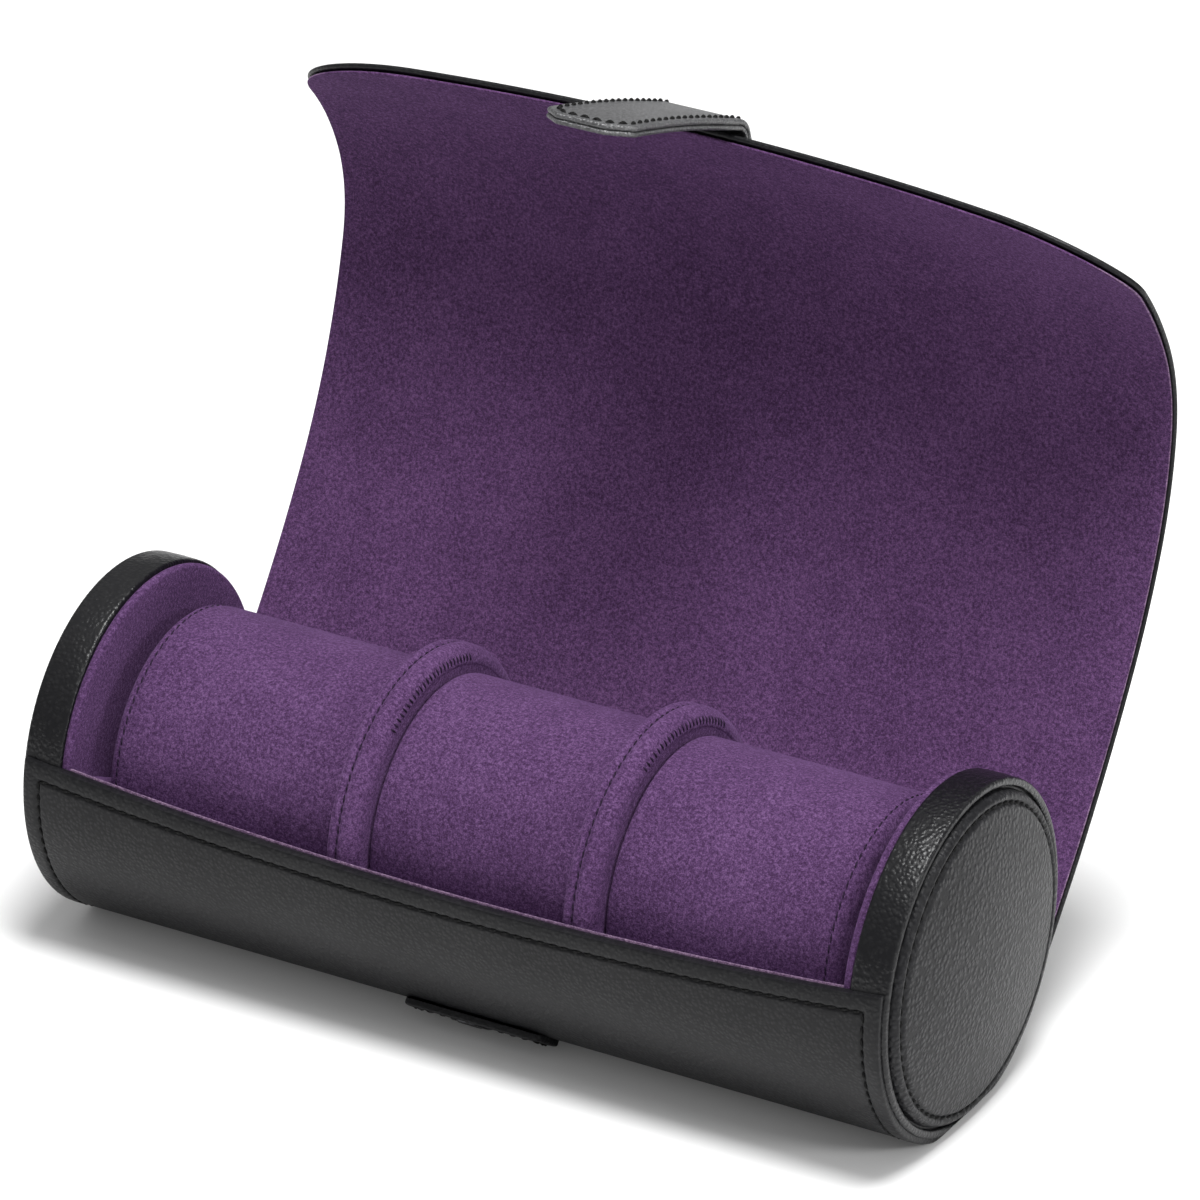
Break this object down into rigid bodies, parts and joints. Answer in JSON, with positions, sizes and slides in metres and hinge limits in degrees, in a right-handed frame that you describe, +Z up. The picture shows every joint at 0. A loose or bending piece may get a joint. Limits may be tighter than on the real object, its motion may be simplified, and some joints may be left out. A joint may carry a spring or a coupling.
{
  "type": "watch roll",
  "caption": "Open leather watch roll: a half-round tray with drum ends, padded dividers and lift-out suede cushions, and a soft wrap-over lid with a snap strap.",
  "frame": {"origin": "middle of the flat base under the tray", "axes": "+X along the roll, -Y to the front lip, +Z up from the base"},
  "size_m": [0.242, 0.1516, 0.2184],
  "materials": {
    "leather": "satin",
    "face_leather": "satin",
    "lid_suede": "matte",
    "cushion_suede": "matte",
    "board": "matte",
    "foam": "matte",
    "snap_metal": "polished",
    "dark_metal": "satin"
  },
  "bodies": {
    "case": {"tray_leather": "leather", "tray_board": "board", "tray_lining": "cushion_suede", "right_drum_core": "board", "left_drum_core": "board", "right_drum_band": "leather", "left_drum_band": "leather", "right_face_panel": "face_leather", "left_face_panel": "face_leather", "right_drum_liner": "cushion_suede", "left_drum_liner": "cushion_suede", "divider_1_rim": "cushion_suede", "divider_1_board": "board", "divider_1_left_face": "cushion_suede", "divider_1_right_face": "cushion_suede", "divider_2_rim": "cushion_suede", "divider_2_board": "board", "divider_2_left_face": "cushion_suede", "divider_2_right_face": "cushion_suede", "closure_pad": "leather", "snap_socket": "dark_metal", "socket_rivet": "dark_metal"},
    "cushion_1": {"cushion_1_sleeve": "cushion_suede", "cushion_1_foam": "foam", "cushion_1_left_end": "cushion_suede", "cushion_1_right_end": "cushion_suede"},
    "cushion_2": {"cushion_2_sleeve": "cushion_suede", "cushion_2_foam": "foam", "cushion_2_left_end": "cushion_suede", "cushion_2_right_end": "cushion_suede"},
    "cushion_3": {"cushion_3_sleeve": "cushion_suede", "cushion_3_foam": "foam", "cushion_3_left_end": "cushion_suede", "cushion_3_right_end": "cushion_suede"},
    "lid_1": {"lid_leather_1": "leather", "lid_lining_1": "lid_suede"},
    "lid_2": {"lid_leather_2": "leather", "lid_lining_2": "lid_suede"},
    "lid_3": {"lid_leather_3": "leather", "lid_lining_3": "lid_suede"},
    "lid_4": {"lid_leather_4": "leather", "lid_lining_4": "lid_suede"},
    "lid_5": {"lid_leather_5": "leather", "lid_lining_5": "lid_suede"},
    "lid_6": {"lid_leather_6": "leather", "lid_lining_6": "lid_suede"},
    "lid_7": {"lid_leather_7": "leather", "lid_lining_7": "lid_suede"},
    "lid_8": {"lid_leather_8": "leather", "lid_lining_8": "lid_suede", "strap_anchor": "leather"},
    "strap_1": {"strap_back_1": "leather", "strap_top_1": "leather"},
    "strap_2": {"strap_back_2": "leather", "strap_top_2": "leather"},
    "strap_3": {"strap_back_3": "leather", "strap_top_3": "leather", "press_stud": "snap_metal"}
  },
  "joints": [
    {"name": "lid_hinge", "type": "hinge", "parent": "case", "child": "lid_1", "pos_m": [0, 0.03344, 0.01232], "axis": [-1, 0, 0], "range_deg": [0, 40]},
    {"name": "lid_curl", "type": "hinge", "parent": "lid_1", "child": "lid_2", "pos_m": [0, 0.04184, 0.02493], "axis": [-1, 0, 0], "range_deg": [-27.73, 8]},
    {"name": "lid_fold_3", "type": "hinge", "parent": "lid_2", "child": "lid_3", "pos_m": [0, 0.05984, 0.04638], "axis": [-1, 0, 0], "range_deg": [-26.05, 7.59]},
    {"name": "lid_fold_4", "type": "hinge", "parent": "lid_3", "child": "lid_4", "pos_m": [0, 0.07598, 0.06926], "axis": [-1, 0, 0], "range_deg": [-26.57, 7.74]},
    {"name": "lid_fold_5", "type": "hinge", "parent": "lid_4", "child": "lid_5", "pos_m": [0, 0.09028, 0.09334], "axis": [-1, 0, 0], "range_deg": [-22.71, 6.62]},
    {"name": "lid_fold_6", "type": "hinge", "parent": "lid_5", "child": "lid_6", "pos_m": [0, 0.10022, 0.11951], "axis": [-1, 0, 0], "range_deg": [-19.87, 5.8]},
    {"name": "lid_fold_7", "type": "hinge", "parent": "lid_6", "child": "lid_7", "pos_m": [0, 0.10446, 0.14719], "axis": [-1, 0, 0], "range_deg": [-5.43, 1.64]},
    {"name": "lid_fold_8", "type": "hinge", "parent": "lid_7", "child": "lid_8", "pos_m": [0, 0.09603, 0.1739], "axis": [-1, 0, 0], "range_deg": [-9.76, 2.89]},
    {"name": "strap_fold_1", "type": "hinge", "parent": "lid_8", "child": "strap_1", "pos_m": [0, 0.07954, 0.19737], "axis": [-1, 0, 0], "range_deg": [-8.3, 14.3]},
    {"name": "strap_flex", "type": "hinge", "parent": "strap_1", "child": "strap_2", "pos_m": [0, 0.06259, 0.20638], "axis": [-1, 0, 0], "range_deg": [-3.47, 6]},
    {"name": "strap_fold_3", "type": "hinge", "parent": "strap_2", "child": "strap_3", "pos_m": [0, 0.04444, 0.21263], "axis": [-1, 0, 0], "range_deg": [-5.35, 9.18]},
    {"name": "cushion_1_lift", "type": "slide", "parent": "case", "child": "cushion_1", "axis": [0, 0, 1], "range_m": [0, 0.08]},
    {"name": "cushion_2_lift", "type": "slide", "parent": "case", "child": "cushion_2", "axis": [0, 0, 1], "range_m": [0, 0.08]},
    {"name": "cushion_3_lift", "type": "slide", "parent": "case", "child": "cushion_3", "axis": [0, 0, 1], "range_m": [0, 0.08]}
  ],
  "couplings": [
    {"joint": "lid_fold_3", "follows": "lid_curl", "ratio": 0.93576},
    {"joint": "lid_fold_4", "follows": "lid_curl", "ratio": 0.95438},
    {"joint": "lid_fold_5", "follows": "lid_curl", "ratio": 0.81519},
    {"joint": "lid_fold_6", "follows": "lid_curl", "ratio": 0.71268},
    {"joint": "lid_fold_7", "follows": "lid_curl", "ratio": 0.19232},
    {"joint": "lid_fold_8", "follows": "lid_curl", "ratio": 0.34843},
    {"joint": "strap_fold_1", "follows": "strap_flex", "ratio": 2.3672},
    {"joint": "strap_fold_3", "follows": "strap_flex", "ratio": 1.5138}
  ]
}
